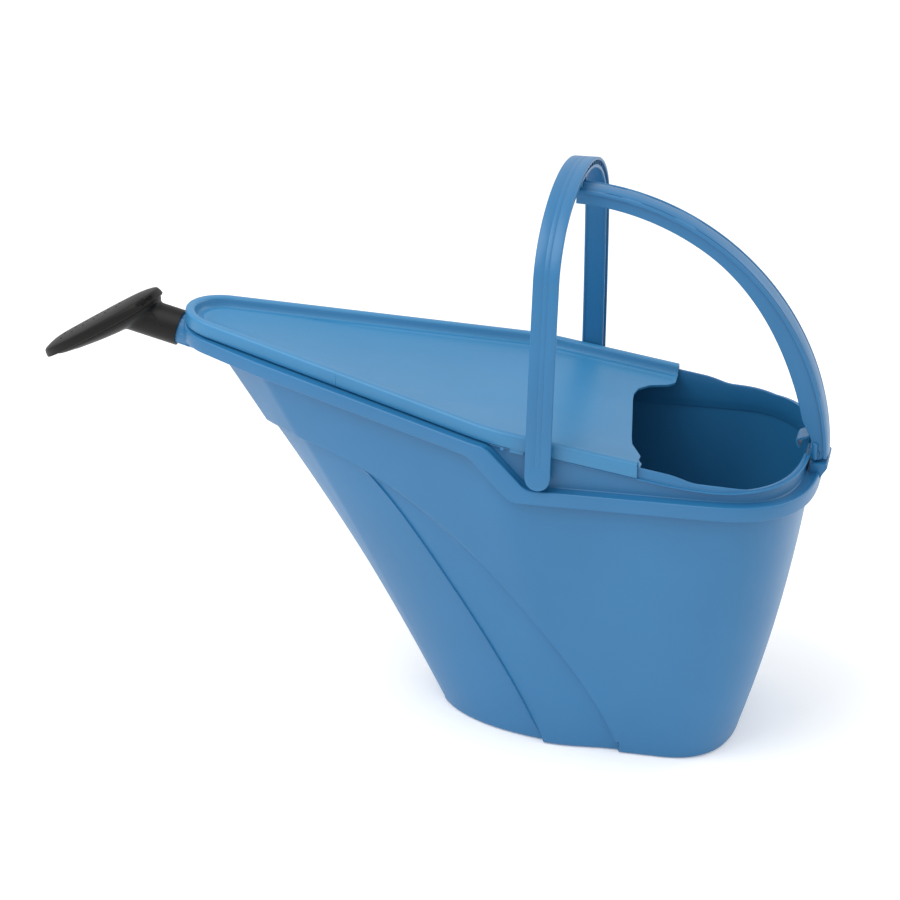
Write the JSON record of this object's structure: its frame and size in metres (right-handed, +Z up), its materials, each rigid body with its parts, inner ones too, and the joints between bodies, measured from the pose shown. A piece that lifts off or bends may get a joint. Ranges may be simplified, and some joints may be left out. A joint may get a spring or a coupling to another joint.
{
  "type": "watering can",
  "caption": "Bucket-shaped plastic watering can with a long nose, clip-on deck, folding bail, rear pouring arm and a pull-off swivelling rose.",
  "frame": {"origin": "under the middle of the whole can's footprint box, on the plane it stands on", "axes": "+X to the rear (filling mouth), -X to the spout, +Z up, +Y to the can's left seen from behind the spout"},
  "size_m": [0.6794, 0.257, 0.4825],
  "materials": {
    "body_plastic": "satin moulded polypropylene, mid blue",
    "deck_plastic": "satin moulded polypropylene, the same blue, smoother",
    "rose_plastic": "satin charcoal polypropylene",
    "seal_rubber": "matte black rubber"
  },
  "bodies": {
    "can": {"can_body": "body_plastic", "deck_cover": "deck_plastic", "bail_pin_near": "body_plastic", "bail_pin_far": "body_plastic", "arm_hinge_pin": "body_plastic"},
    "bail": {"bail": "body_plastic", "catch_pin": "body_plastic"},
    "arm": {"pour_arm": "body_plastic"},
    "seal": {"spout_seal": "seal_rubber"},
    "rose": {"rose_elbow": "rose_plastic", "rose_plate": "rose_plastic"}
  },
  "joints": [
    {"name": "bail_fold", "type": "hinge", "parent": "can", "child": "bail", "pos_m": [0.12, 0, 0.2603], "axis": [0, -1, 0], "range_deg": [0, 47]},
    {"name": "arm_fold", "type": "hinge", "parent": "can", "child": "arm", "pos_m": [0.33, 0, 0.257], "axis": [0, -1, 0], "range_deg": [0, 37]},
    {"name": "rose_pull", "type": "slide", "parent": "can", "child": "seal", "axis": [-0.9694, 0, 0.2453], "range_m": [0, 0.03]},
    {"name": "rose_swivel", "type": "hinge", "parent": "seal", "child": "rose", "pos_m": [-0.2, 0, 0.3124], "axis": [-0.9694, 0, 0.2453], "continuous": true}
  ]
}
